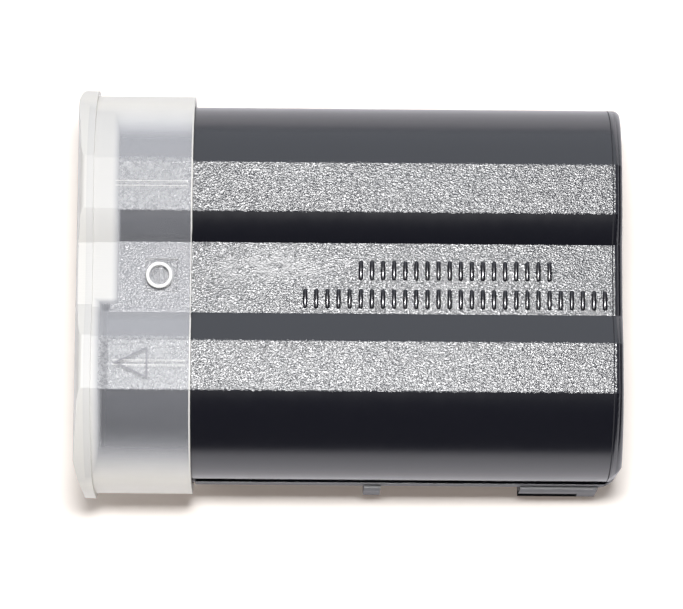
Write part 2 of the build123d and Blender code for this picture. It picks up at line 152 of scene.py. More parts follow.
def wear(piece: bpy.types.Object, material: bpy.types.Material) -> None:
    """Give a piece or a CAD node one material all over."""
    piece.data.materials.clear()
    piece.data.materials.append(material)


@dataclass(frozen=True)
class Finish:
    """A named surface with a procedural pattern on Object coordinates."""

    name: str
    colour: str
    roughness: float

    def material(self) -> bpy.types.Material:
        """Build the finish as a node material.

        Returns:
            The new material.
        """
        made = bpy.data.materials.new(self.name)
        made.use_nodes = True
        tree = made.node_tree
        tree.nodes.clear()
        shader = add_node(tree, "ShaderNodeBsdfPrincipled", {"Roughness": self.roughness})
        place = add_node(tree, "ShaderNodeTexCoord").outputs["Object"]
        self.lay(tree, shader, place)
        add_node(tree, "ShaderNodeOutputMaterial", links={"Surface": shader.outputs[0]})
        return made

    def lay(self, tree: bpy.types.NodeTree, shader: bpy.types.Node, place: bpy.types.NodeSocket) -> None:
        """Lay the pattern of the finish.

        Args:
            tree: The material's node tree.
            shader: Its principled shader.
            place: Object coordinates.
        """
        raise NotImplementedError


@dataclass(frozen=True)
class GrainedFinish(Finish):
    """A moulded, printed or pressed surface: one colour that drifts to another with its grain."""

    second_colour: str
    grain: Grain
    grain_mm: float
    relief_mm: float
    ior: float = 1.5
    stretch: tuple[float, float, float] = (1.0, 1.0, 1.0)
    metallic: float = 0.0
    roughness_drift: float = 0.08

    def lay(self, tree: bpy.types.NodeTree, shader: bpy.types.Node, place: bpy.types.NodeSocket) -> None:
        """Lay the grain in colour, gloss and relief.

        Args:
            tree: The material's node tree.
            shader: Its principled shader.
            place: Object coordinates.
        """
        shader.inputs["Metallic"].default_value = self.metallic
        if not self.metallic:
            shader.inputs["IOR"].default_value = self.ior
        stretched = add_node(tree, "ShaderNodeMapping", {"Scale": self.stretch}, {"Vector": place})
        grain = add_node(
            tree, self.grain.value, {"Scale": 1 / (self.grain_mm * MM)}, {"Vector": stretched.outputs[0]}
        ).outputs[0]
        drift = add_node(
            tree,
            "ShaderNodeMix",
            {COLOUR_A: linear(self.colour), COLOUR_B: linear(self.second_colour)},
            {FACTOR: grain},
            data_type="RGBA",
        )
        gloss = add_node(
            tree,
            "ShaderNodeMapRange",
            {
                "To Min": self.roughness - self.roughness_drift,
                "To Max": self.roughness + self.roughness_drift,
            },
            {"Value": grain},
        )
        relief = add_node(tree, "ShaderNodeBump", {"Distance": self.relief_mm * MM}, {"Height": grain})
        tree.links.new(drift.outputs[MIXED_COLOUR], shader.inputs["Base Color"])
        tree.links.new(gloss.outputs[0], shader.inputs["Roughness"])
        tree.links.new(relief.outputs[0], shader.inputs["Normal"])


@dataclass(frozen=True)
class MouldedBlack(Finish):
    """Black moulded blend of ABS and polycarbonate.

    The lobes are satin and show soft reflections of the studio. The three flats keep the spark-eroded
    grain of the mould, which sparkles grey, and part of the valley is rubbed smoother by handling. The tub
    below the seam is duller and rolls under, and a fine line of the mould runs round the closed end.
    """

    crown_z: float
    valley_z: float
    line_x: float
    texture_end_x: float
    seam_z: float
    flat_colour: str = "#1b1b24"
    flat_roughness: float = 0.3
    # drawn coarser than the real erosion of about 0.08 mm, so that it shows
    grain_mm: float = 0.15
    grain_stretch: tuple[float, float, float] = (0.75, 1.0, 1.0)
    grain_detail: float = 1.0
    grain_warp: float = 0.4
    relief_mm: float = 0.06
    satin_mm: float = 1.6
    satin_detail: float = 4.0
    satin_drift: float = 0.03
    # how far from its level a flat still counts, and how far the grain spills over a crown's edges
    level_mm: float = 0.02
    ragged_mm: float = 0.05
    valley_half_mm: float = 3.9
    witness_mm: float = 0.11
    # the end leans away past the grain, and the tub leans under below the seam
    end_round_mm: float = 0.35
    end_lean_mm: float = 0.19
    rolled_mm: float = 3.8
    rolled_lean_mm: float = 0.6
    tub_roughness: float = 0.46
    rubbed_middle_mm: tuple[float, float, float] = (-8.6, 1.2, 20.9)
    rubbed_reach_mm: tuple[float, float, float] = (7.5, 2.6, 3.0)
    rubbed_share: float = 0.6
    rubbed_roughness: float = 0.12
    clump_mm: float = 1.5
    clump_range: tuple[float, float] = (0.4, 0.6)
    clump_gain: tuple[float, float] = (1.6, 0.3)
    ior: float = 1.56
    shine: float = 1.0

    def lay(self, tree: bpy.types.NodeTree, shader: bpy.types.Node, place: bpy.types.NodeSocket) -> None:
        """Lay the eroded grain on the three flats, satin on the rest and the mould's line round the end.

        Args:
            tree: The material's node tree.
            shader: Its principled shader.
            place: Object coordinates.
        """
        shader.inputs["IOR"].default_value = self.ior
        shader.inputs["Specular IOR Level"].default_value = self.shine
        axes = add_node(tree, "ShaderNodeSeparateXYZ", links={"Vector": place}).outputs
        along = add_node(tree, "ShaderNodeMapping", {"Scale": self.grain_stretch}, {"Vector": place})
        grain = add_node(
            tree,
            "ShaderNodeTexNoise",
            {
                "Scale": 1 / (self.grain_mm * MM),
                "Detail": self.grain_detail,
                "Distortion": self.grain_warp,
            },
            {"Vector": along.outputs[0]},
        ).outputs[0]
        flat = self.flat_mask(tree, axes, grain)
        left = self.keep_mask(tree, place, axes)
        witness = add_node(
            tree,
            "ShaderNodeMath",
            {1: self.line_x, 2: self.witness_mm * MM / 2},
            {0: axes["X"]},
            operation="COMPARE",
        ).outputs[0]
        kept = add_node(tree, "ShaderNodeMath", links={0: flat, 1: left}, operation="MULTIPLY")
        height = add_node(
            tree, "ShaderNodeMath", links={0: grain, 1: kept.outputs[0]}, operation="MULTIPLY"
        )
        lined = add_node(
            tree, "ShaderNodeMath", links={0: height.outputs[0], 1: witness}, operation="SUBTRACT"
        )
        tint = add_node(
            tree,
            "ShaderNodeMix",
            {COLOUR_A: linear(self.colour), COLOUR_B: linear(self.flat_colour)},
            {FACTOR: flat},
            data_type="RGBA",
        )
        rough = self.gloss(tree, place, flat, left)
        dull_tub = self.tub_gloss(tree, axes)
        for duller in (witness, dull_tub):
            rough = add_node(
                tree, "ShaderNodeMath", links={0: rough, 1: duller}, operation="MAXIMUM"
            ).outputs[0]
        tree.links.new(tint.outputs[MIXED_COLOUR], shader.inputs["Base Color"])
        tree.links.new(rough, shader.inputs["Roughness"])
        tree.links.new(self.relief(tree, axes, lined.outputs[0]), shader.inputs["Normal"])

    def flat_mask(
        self, tree: bpy.types.NodeTree, axes: bpy.types.NodeOutputs, grain: bpy.types.NodeSocket
    ) -> bpy.types.NodeSocket:
        """Find the textured flats by their height.

        Args:
            tree: The material's node tree.
            axes: Object coordinates, one socket for each axis.
            grain: The grain, which makes the edges of the crown flats ragged.

        Returns:
            One on the flats and zero elsewhere.
        """
        edge = add_node(
            tree,
            "ShaderNodeMapRange",
            {"To Min": self.crown_z - self.level_mm * MM, "To Max": self.crown_z - self.ragged_mm * MM},
            {"Value": grain},
        )
        crown = add_node(
            tree, "ShaderNodeMath", links={0: axes["Z"], 1: edge.outputs[0]}, operation="GREATER_THAN"
        )
        floor, between = (
            add_node(
                tree, "ShaderNodeMath", {1: middle, 2: half_mm * MM}, {0: axes[axis]}, operation="COMPARE"
            )
            for axis, middle, half_mm in (
                ("Z", self.valley_z, self.level_mm),
                ("Y", 0.0, self.valley_half_mm),
            )
        )
        valley = add_node(
            tree, "ShaderNodeMath", links={0: floor.outputs[0], 1: between.outputs[0]}, operation="MULTIPLY"
        )
        return add_node(
            tree, "ShaderNodeMath", links={0: crown.outputs[0], 1: valley.outputs[0]}, operation="MAXIMUM"
        ).outputs[0]

    def keep_mask(
        self, tree: bpy.types.NodeTree, place: bpy.types.NodeSocket, axes: bpy.types.NodeOutputs
    ) -> bpy.types.NodeSocket:
        """Find how much of the grain is left: less where hands have rubbed the valley, none at the end.

        Args:
            tree: The material's node tree.
            place: Object coordinates.
            axes: The same, one socket for each axis.

        Returns:
            One where the grain is whole, less where it is rubbed, and zero past the grain's end.
        """
        around = add_node(
            tree,
            "ShaderNodeMapping",
            {
                "Location": [length * MM for length in self.rubbed_middle_mm],
                "Scale": [length * MM for length in self.rubbed_reach_mm],
            },
            {"Vector": place},
            vector_type="TEXTURE",
        )
        patch = add_node(
            tree, "ShaderNodeTexGradient", links={"Vector": around.outputs[0]}, gradient_type="SPHERICAL"
        )
        clumps = add_node(tree, "ShaderNodeTexNoise", {"Scale": 1 / (self.clump_mm * MM)}, {"Vector": place})
        smooth = add_node(
            tree,
            "ShaderNodeMapRange",
            {
                "From Min": self.clump_range[0],
                "From Max": self.clump_range[1],
                "To Min": self.clump_gain[0],
                "To Max": self.clump_gain[1],
            },
            {"Value": clumps.outputs[0]},
            interpolation_type="SMOOTHSTEP",
        )
        rubbed = add_node(
            tree,
            "ShaderNodeMath",
            links={0: patch.outputs["Fac"], 1: smooth.outputs[0]},
            operation="MULTIPLY",
            use_clamp=True,
        )
        left = add_node(
            tree,
            "ShaderNodeMapRange",
            {"To Min": 1.0, "To Max": 1.0 - self.rubbed_share},
            {"Value": rubbed.outputs[0]},
        )
        inside = add_node(
            tree, "ShaderNodeMath", {1: self.texture_end_x}, {0: axes["X"]}, operation="LESS_THAN"
        )
        return add_node(
            tree, "ShaderNodeMath", links={0: left.outputs[0], 1: inside.outputs[0]}, operation="MULTIPLY"
        ).outputs[0]

    def gloss(
        self,
        tree: bpy.types.NodeTree,
        place: bpy.types.NodeSocket,
        flat: bpy.types.NodeSocket,
        left: bpy.types.NodeSocket,
    ) -> bpy.types.NodeSocket:
        """Work out how rough the shells are.

        Args:
            tree: The material's node tree.
            place: Object coordinates.
            flat: One on the textured flats.
            left: How much of their grain is left.

        Returns:
            The roughness of the lobes and the flats.
        """
        satin = add_node(
            tree,
            "ShaderNodeTexNoise",
            {"Scale": 1 / (self.satin_mm * MM), "Detail": self.satin_detail},
            {"Vector": place},
        )
        lobes = add_node(
            tree,
            "ShaderNodeMapRange",
            {"To Min": self.roughness - self.satin_drift, "To Max": self.roughness + self.satin_drift},
            {"Value": satin.outputs[0]},
        )
        flats = add_node(
            tree,
            "ShaderNodeMapRange",
            {"To Min": self.flat_roughness + self.rubbed_roughness, "To Max": self.flat_roughness},
            {"Value": left},
        )
        return add_node(
            tree,
            "ShaderNodeMix",
            links={FACTOR: flat, NUMBER_A: lobes.outputs[0], NUMBER_B: flats.outputs[0]},
            data_type="FLOAT",
        ).outputs[MIXED_NUMBER]

    def tub_gloss(self, tree: bpy.types.NodeTree, axes: bpy.types.NodeOutputs) -> bpy.types.NodeSocket:
        """Work out the least roughness of the tub.

        Args:
            tree: The material's node tree.
            axes: Object coordinates, one socket for each axis.

        Returns:
            The tub's roughness below the seam and zero above it.
        """
        below = add_node(tree, "ShaderNodeMath", {1: self.seam_z}, {0: axes["Z"]}, operation="LESS_THAN")
        return add_node(
            tree, "ShaderNodeMath", {1: self.tub_roughness}, {0: below.outputs[0]}, operation="MULTIPLY"
        ).outputs[0]

    def relief(
        self, tree: bpy.types.NodeTree, axes: bpy.types.NodeOutputs, height: bpy.types.NodeSocket
    ) -> bpy.types.NodeSocket:
        """Stack the bumps of the surface: its grain and line, the rolled tub and the rounded end.

        Args:
            tree: The material's node tree.
            axes: Object coordinates, one socket for each axis.
            height: The grain with the mould's line cut in it.

        Returns:
            The bumped normal.
        """
        normal = add_node(
            tree, "ShaderNodeBump", {"Distance": self.relief_mm * MM}, {"Height": height}
        ).outputs[0]
        for axis, foot, head, lean_mm in (
            ("Z", self.seam_z, self.seam_z - self.rolled_mm * MM, self.rolled_lean_mm),
            ("X", self.texture_end_x + self.end_round_mm * MM, self.texture_end_x, self.end_lean_mm),
        ):
            slope = add_node(
                tree, "ShaderNodeMapRange", {"From Min": foot, "From Max": head}, {"Value": axes[axis]}
            )
            normal = add_node(
                tree,
                "ShaderNodeBump",
                {"Distance": lean_mm * MM},
                {"Height": slope.outputs[0], "Normal": normal},
            ).outputs[0]
        return normal


@dataclass(frozen=True)
class FrostedPolypropylene(Finish):
    """Thin moulded polypropylene: a milky haze that the pack shows through where it lies close behind.

    The haze is bluish where it is thin and creamy where it is thick: edge on, in the flange and along the
    rim.
    Over the empty end past the pack and on the flanks that face the bright wall the wall is no thicker:
    there the haze is raised as painted light. It carries the fine streaks of the mould.
    """

    thick_colour: str
    flange_x: float
    rim_x: float
    crown_z: float
    valley_z: float
    step_mm: float
    nose_mm: float
    nose_edge_mm: float
    rib_edges_mm: tuple[float, ...]
    facing_range: tuple[float, float] = (0.09, 0.66)
    haze: float = 0.065
    edge_haze: float = 0.93
    # painted light: past the pack's nose the wall is drawn milkier and creamier, as if lit through from
    # behind
    painted_light_empty_haze: float = 0.74
    flange_haze: float = 0.86
    rim_haze: float = 0.9
    rib_haze: float = 0.8
    crown_haze: float = 0.3
    valley_haze: float = 0.22
    # middle and half width of the flanks that face the bright wall behind the pack, where the haze is raised
    # as painted light from that wall
    painted_backlight_mm: tuple[tuple[float, float], ...] = ((15.9, 4.0), (-5.2, 1.5))
    painted_backlight_haze: float = 0.25
    rim_mm: float = 0.2
    rib_line_mm: float = 0.035
    rib_margin_mm: float = 0.5
    blur_mm: float = 0.9
    valley_half_mm: float = 3.6
    level_mm: float = 0.03
    # the crowns are scuffed, with specks drawn coarser than real ones, so that they show
    speck_mm: float = 0.25
    speck_detail: float = 1.0
    speck_range: tuple[float, float] = (0.3, 0.7)
    speck_gain: tuple[float, float] = (0.7, 1.3)
    streak_mm: float = 0.22
    streak_stretch: tuple[float, float, float] = (0.1, 1.0, 1.0)
    streak_share: float = 0.05
    relief_mm: float = 0.012
    ior: float = 1.49
    shine: float = 0.3

    def lay(self, tree: bpy.types.NodeTree, shader: bpy.types.Node, place: bpy.types.NodeSocket) -> None:
        """Lay the haze of the wall, its streaks and the bright lines of its edges.

        Args:
            tree: The material's node tree.
            shader: Its principled shader.
            place: Object coordinates.
        """
        shader.inputs["IOR"].default_value = self.ior
        shader.inputs["Specular IOR Level"].default_value = self.shine
        axes = add_node(tree, "ShaderNodeSeparateXYZ", links={"Vector": place}).outputs
        along = add_node(tree, "ShaderNodeMapping", {"Scale": self.streak_stretch}, {"Vector": place})
        streak = add_node(
            tree, "ShaderNodeTexNoise", {"Scale": 1 / (self.streak_mm * MM)}, {"Vector": along.outputs[0]}
        ).outputs[0]
        haze = self.wall_haze(tree, streak)
        for mask, strength in (
            *self.flat_masks(tree, place, axes),
            *self.end_masks(tree, axes),
            *self.line_masks(tree, axes),
        ):
            strong = add_node(tree, "ShaderNodeMath", {1: strength}, {0: mask}, operation="MULTIPLY")
            haze = add_node(
                tree, "ShaderNodeMath", links={0: haze, 1: strong.outputs[0]}, operation="MAXIMUM"
            ).outputs[0]
        tint = add_node(
            tree,
            "ShaderNodeMix",
            {COLOUR_A: linear(self.colour), COLOUR_B: linear(self.thick_colour)},
            {FACTOR: haze},
            data_type="RGBA",
        )
        relief = add_node(tree, "ShaderNodeBump", {"Distance": self.relief_mm * MM}, {"Height": streak})
        tree.links.new(tint.outputs[MIXED_COLOUR], shader.inputs["Base Color"])
        tree.links.new(relief.outputs[0], shader.inputs["Normal"])
        tree.links.new(haze, shader.inputs["Alpha"])

    def wall_haze(self, tree: bpy.types.NodeTree, streak: bpy.types.NodeSocket) -> bpy.types.NodeSocket:
        """Work out how milky the plain wall is: clearest face on, thickest edge on.

        Args:
            tree: The material's node tree.
            streak: The streaks of the mould.

        Returns:
            The haze, from nothing at zero to solid at one.
        """
        grazing = add_node(tree, "ShaderNodeLayerWeight").outputs["Facing"]
        wall = add_node(
            tree,
            "ShaderNodeMapRange",
            {
                "From Min": self.facing_range[0],
                "From Max": self.facing_range[1],
                "To Min": self.haze,
                "To Max": self.edge_haze,
            },
            {"Value": grazing},
            interpolation_type="SMOOTHSTEP",
        )
        return add_node(
            tree,
            "ShaderNodeMath",
            {1: self.streak_share},
            {0: streak, 2: wall.outputs[0]},
            operation="MULTIPLY_ADD",
        ).outputs[0]

    def flat_masks(
        self, tree: bpy.types.NodeTree, place: bpy.types.NodeSocket, axes: bpy.types.NodeOutputs
    ) -> list[tuple[bpy.types.NodeSocket, float]]:
        """Find the scuffed crowns and the floor of the valley.

        Args:
            tree: The material's node tree.
            place: Object coordinates.
            axes: The same, one socket for each axis.

        Returns:
            A mask and its haze for each.
        """
        crown, floor, between = (
            add_node(
                tree, "ShaderNodeMath", {1: middle, 2: half_mm * MM}, {0: axes[axis]}, operation="COMPARE"
            ).outputs[0]
            for axis, middle, half_mm in (
                ("Z", self.crown_z, self.level_mm),
                ("Z", self.valley_z, self.level_mm),
                ("Y", 0.0, self.valley_half_mm),
            )
        )
        specks = add_node(
            tree,
            "ShaderNodeTexNoise",
            {"Scale": 1 / (self.speck_mm * MM), "Detail": self.speck_detail},
            {"Vector": place},
        )
        scuffs = add_node(
            tree,
            "ShaderNodeMapRange",
            {
                "From Min": self.speck_range[0],
                "From Max": self.speck_range[1],
                "To Min": self.speck_gain[0],
                "To Max": self.speck_gain[1],
            },
            {"Value": specks.outputs[0]},
        )
        scuffed = add_node(
            tree, "ShaderNodeMath", links={0: crown, 1: scuffs.outputs[0]}, operation="MULTIPLY"
        )
        valley = add_node(tree, "ShaderNodeMath", links={0: floor, 1: between}, operation="MULTIPLY")
        return [(scuffed.outputs[0], self.crown_haze), (valley.outputs[0], self.valley_haze)]

    def end_masks(
        self, tree: bpy.types.NodeTree, axes: bpy.types.NodeOutputs
    ) -> list[tuple[bpy.types.NodeSocket, float]]:
        """Find the empty end past the pack and its nose, whose haze is painted light, and the flange and the
        rim.

        Args:
            tree: The material's node tree.
            axes: Object coordinates, one socket for each axis.

        Returns:
            A mask and its haze for each.
        """
        blur = self.blur_mm * MM
        step_x = self.step_mm * MM
        nose_x = self.nose_mm * MM
        nose_edge = self.nose_edge_mm * MM
        rim_width = self.rim_mm * MM
        # each mask rises softly from the first place along its axis to the second
        past_step, past_nose, beside_nose, flange, rim = (
            add_node(
                tree,
                "ShaderNodeMapRange",
                {"From Min": start, "From Max": end},
                {"Value": axes[axis]},
                interpolation_type="SMOOTHSTEP",
            ).outputs[0]
            for axis, start, end in (
                ("X", step_x + blur, step_x - blur / 2),
                ("X", nose_x + blur, nose_x - blur / 2),
                ("Y", nose_edge - blur / 2, nose_edge + blur / 2),
                ("X", self.flange_x + blur / 4, self.flange_x),
                ("X", self.rim_x - rim_width, self.rim_x - rim_width / 2),
            )
        )
        # the empty end gets painted light: a milkier, creamier haze where nothing lies close behind
        stepped = add_node(
            tree, "ShaderNodeMath", links={0: past_step, 1: beside_nose}, operation="MULTIPLY"
        )
        empty = add_node(
            tree, "ShaderNodeMath", links={0: stepped.outputs[0], 1: past_nose}, operation="MAXIMUM"
        )
        return [(empty.outputs[0], self.painted_light_empty_haze), (flange, self.flange_haze), (rim, self.rim_haze)]

    def line_masks(
        self, tree: bpy.types.NodeTree, axes: bpy.types.NodeOutputs
    ) -> list[tuple[bpy.types.NodeSocket, float]]:
        """Find the flanks that face the bright wall, given painted light, and over the pack the edges of the
        ribs inside the cover.

        Args:
            tree: The material's node tree.
            axes: Object coordinates, one socket for each axis.

        Returns:
            A mask and its haze for each.
        """
        masks = []
        # painted light: flanks picked by their place across the pack get a milkier, creamier haze
        for middle_mm, half_mm in self.painted_backlight_mm:
            painted_backlight = add_node(
                tree,
                "ShaderNodeMath",
                {1: middle_mm * MM, 2: half_mm * MM},
                {0: axes["Y"]},
                operation="COMPARE",
            )
            masks.append((painted_backlight.outputs[0], self.painted_backlight_haze))
        start_x = self.step_mm * MM
        end_x = self.rim_x - self.rib_margin_mm * MM
        over_pack = add_node(
            tree,
            "ShaderNodeMath",
            {1: (start_x + end_x) / 2, 2: (end_x - start_x) / 2},
            {0: axes["X"]},
            operation="COMPARE",
        )
        for edge_mm in self.rib_edges_mm:
            line = add_node(
                tree,
                "ShaderNodeMath",
                {1: edge_mm * MM, 2: self.rib_line_mm * MM},
                {0: axes["Y"]},
                operation="COMPARE",
            )
            edge = add_node(
                tree,
                "ShaderNodeMath",
                links={0: line.outputs[0], 1: over_pack.outputs[0]},
                operation="MULTIPLY",
            )
            masks.append((edge.outputs[0], self.rib_haze))
        return masks


@dataclass(frozen=True)
class WhitePaper(Finish):
    """Matt white sheet that the pack lies on.

    To the camera it glows: faintly and warm near the pack, which paints a warm light into the pack's shadow,
    and full white far off. Glossy rays see a painted reflection of it: pale near the pack, fading to dark in
    front as the studio does there.
    """

    shine: float = 0.1
    # painted light: the faint warm glow near the pack lifts and warms its shadow
    glow: float = 0.12
    painted_fill_colour: str = "#ffdcc2"
    far_glow: float = 1.0
    far_colour: str = "#ffffff"
    glow_reach_mm: tuple[float, float] = (60.0, 260.0)
    # painted reflection: the sheet's colour for glossy rays, pale near the pack and dark far in front
    painted_reflection_colour: str = "#ececf3"
    painted_reflection_far_colour: str = "#2a2c33"
    painted_reflection_reach_mm: tuple[float, float] = (12.0, 210.0)

    def lay(self, tree: bpy.types.NodeTree, shader: bpy.types.Node, place: bpy.types.NodeSocket) -> None:
        """Lay what the camera and what the gloss sees of the sheet.

        Args:
            tree: The material's node tree.
            shader: Its principled shader.
            place: Object coordinates.
        """
        shader.inputs["Specular IOR Level"].default_value = self.shine
        rays = add_node(tree, "ShaderNodeLightPath").outputs
        distance = add_node(tree, "ShaderNodeVectorMath", links={0: place}, operation="LENGTH")
        away = add_node(
            tree,
            "ShaderNodeMapRange",
            {
                "From Min": self.glow_reach_mm[0] * MM,
                "From Max": self.glow_reach_mm[1] * MM,
                "To Min": self.glow,
                "To Max": self.far_glow,
            },
            {"Value": distance.outputs["Value"]},
            interpolation_type="SMOOTHSTEP",
        ).outputs[0]
        across = add_node(tree, "ShaderNodeSeparateXYZ", links={"Vector": place}).outputs["Y"]
        painted_reflection_fade = add_node(
            tree,
            "ShaderNodeMapRange",
            {"From Min": -self.painted_reflection_reach_mm[0] * MM, "From Max": -self.painted_reflection_reach_mm[1] * MM},
            {"Value": across},
            interpolation_type="SMOOTHSTEP",
        ).outputs[0]
        # painted reflection: glossy rays see the sheet pale near the pack and dark in front of it
        mirrored = add_node(
            tree,
            "ShaderNodeMix",
            {COLOUR_A: linear(self.painted_reflection_colour), COLOUR_B: linear(self.painted_reflection_far_colour)},
            {FACTOR: painted_reflection_fade},
            data_type="RGBA",
        )
        sheet = add_node(
            tree,
            "ShaderNodeMix",
            {COLOUR_A: linear(self.colour)},
            {FACTOR: rays["Is Glossy Ray"], COLOUR_B: mirrored.outputs[MIXED_COLOUR]},
            data_type="RGBA",
        )
        painted_reflection_glow = add_node(
            tree, "ShaderNodeMapRange", {"To Min": self.glow, "To Max": 0.0}, {"Value": painted_reflection_fade}
        )
        strength = add_node(
            tree,
            "ShaderNodeMix",
            links={FACTOR: rays["Is Camera Ray"], NUMBER_A: painted_reflection_glow.outputs[0], NUMBER_B: away},
            data_type="FLOAT",
        )
        seen = add_node(
            tree,
            "ShaderNodeMath",
            links={0: rays["Is Camera Ray"], 1: rays["Is Glossy Ray"]},
            operation="MAXIMUM",
        )
        glow = add_node(
            tree,
            "ShaderNodeMath",
            links={0: seen.outputs[0], 1: strength.outputs[MIXED_NUMBER]},
            operation="MULTIPLY",
        )
        # painted warm light in the shadow near the pack, turning to plain white far off
        painted_fill_tint = add_node(
            tree,
            "ShaderNodeMix",
            {COLOUR_A: linear(self.painted_fill_colour), COLOUR_B: linear(self.far_colour)},
            {FACTOR: away},
            data_type="RGBA",
        )
        tree.links.new(sheet.outputs[MIXED_COLOUR], shader.inputs["Base Color"])
        tree.links.new(glow.outputs[0], shader.inputs["Emission Strength"])
        tree.links.new(painted_fill_tint.outputs[MIXED_COLOUR], shader.inputs["Emission Color"])


@dataclass
class Housing:
    """The two black shells and the raised ribs on the valley's floor."""

    line_margin: float = 1.52
    texture_margin: float = 1.28
    valley_half: float = 3.72
    rib_width: float = 0.5
    rib_length: float = 2.1
    rib_rise: float = 0.16
    rib_sink: float = 0.04
    rib_pitch: float = 1.15
    rib_segments: int = 16
    rib_rings: int = 8
    # vertices this near the middle stay there when a rib is drawn out
    rib_middle: float = 0.001
    # middle along the pack, place across it and number of ribs in each row
    rib_rows: tuple[tuple[float, float, int], ...] = ((10.9, 0.85, 18), (10.9, -2.15, 28))

    def __post_init__(self) -> None:
        """Read the levels of the flats from the frame and mix the finish."""
        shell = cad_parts["upper_shell"]
        shell_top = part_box("upper_shell")[1]
        self.valley_z = max(v.co.z for v in shell.data.vertices if abs(v.co.y) < self.valley_half * MM)
        self.finish = MouldedBlack(
            "moulded_abs_black",
            "#111119",
            0.22,
            crown_z=shell_top[2],
            valley_z=self.valley_z,
            line_x=shell_top[0] - self.line_margin * MM,
            texture_end_x=shell_top[0] - self.texture_margin * MM,
            seam_z=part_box("lower_shell")[1][2],
        ).material()

    def dress(self) -> None:
        """Dress both shells."""
        for node in ("upper_shell", "lower_shell"):
            wear(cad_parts[node], self.finish)

    def model_rib(self) -> bpy.types.Object:
        """Model one rib: a ball drawn out along its length, flattened and cut off below.

        Returns:
            The rib at the origin.
        """
        deselect()
        bpy.ops.mesh.primitive_uv_sphere_add(
            segments=self.rib_segments, ring_count=self.rib_rings, radius=self.rib_width / 2 * MM
        )
        rib = bpy.context.object
        bpy.ops.object.mode_set(mode="EDIT")
        for side in (-1, 1):
            bpy.ops.mesh.select_all(action="DESELECT")
            bpy.ops.object.mode_set(mode="OBJECT")
            for vertex in rib.data.vertices:
                vertex.select = vertex.co.y * side > self.rib_middle * MM
            bpy.ops.object.mode_set(mode="EDIT")
            bpy.ops.transform.translate(value=(0, side * (self.rib_length - self.rib_width) / 2 * MM, 0))
        bpy.ops.mesh.select_all(action="SELECT")
        bpy.ops.transform.resize(value=(1, 1, self.rib_rise / (self.rib_width / 2)))
        bpy.ops.mesh.bisect(
            plane_co=(0, 0, -self.rib_sink * MM), plane_no=(0, 0, -1), use_fill=True, clear_outer=True
        )
        bpy.ops.object.mode_set(mode="OBJECT")
        bpy.ops.object.shade_smooth_by_angle(angle=SMOOTH_ANGLE)
        return rib

    def build_ribs(self) -> bpy.types.Object:
        """Set two rows of half-round ribs on the valley's floor.

        Returns:
            The ribs as one piece.
        """
        rib = self.model_rib()
        copies = []
        for middle, across, count in self.rib_rows:
            for index in range(count):
                select_only(rib)
                bpy.ops.object.duplicate(linked=False)
                copy = bpy.context.object
                offset = (index - (count - 1) / 2) * self.rib_pitch
                copy.location = ((middle + offset) * MM, across * MM, self.valley_z)
                copies.append(copy)
        bpy.data.objects.remove(rib)
        select_only(*copies)
        bpy.ops.object.join()
        ribs = bpy.context.object
        wear(ribs, self.finish)
        return settle(ribs, "valley_ribs", PACK_BODY)


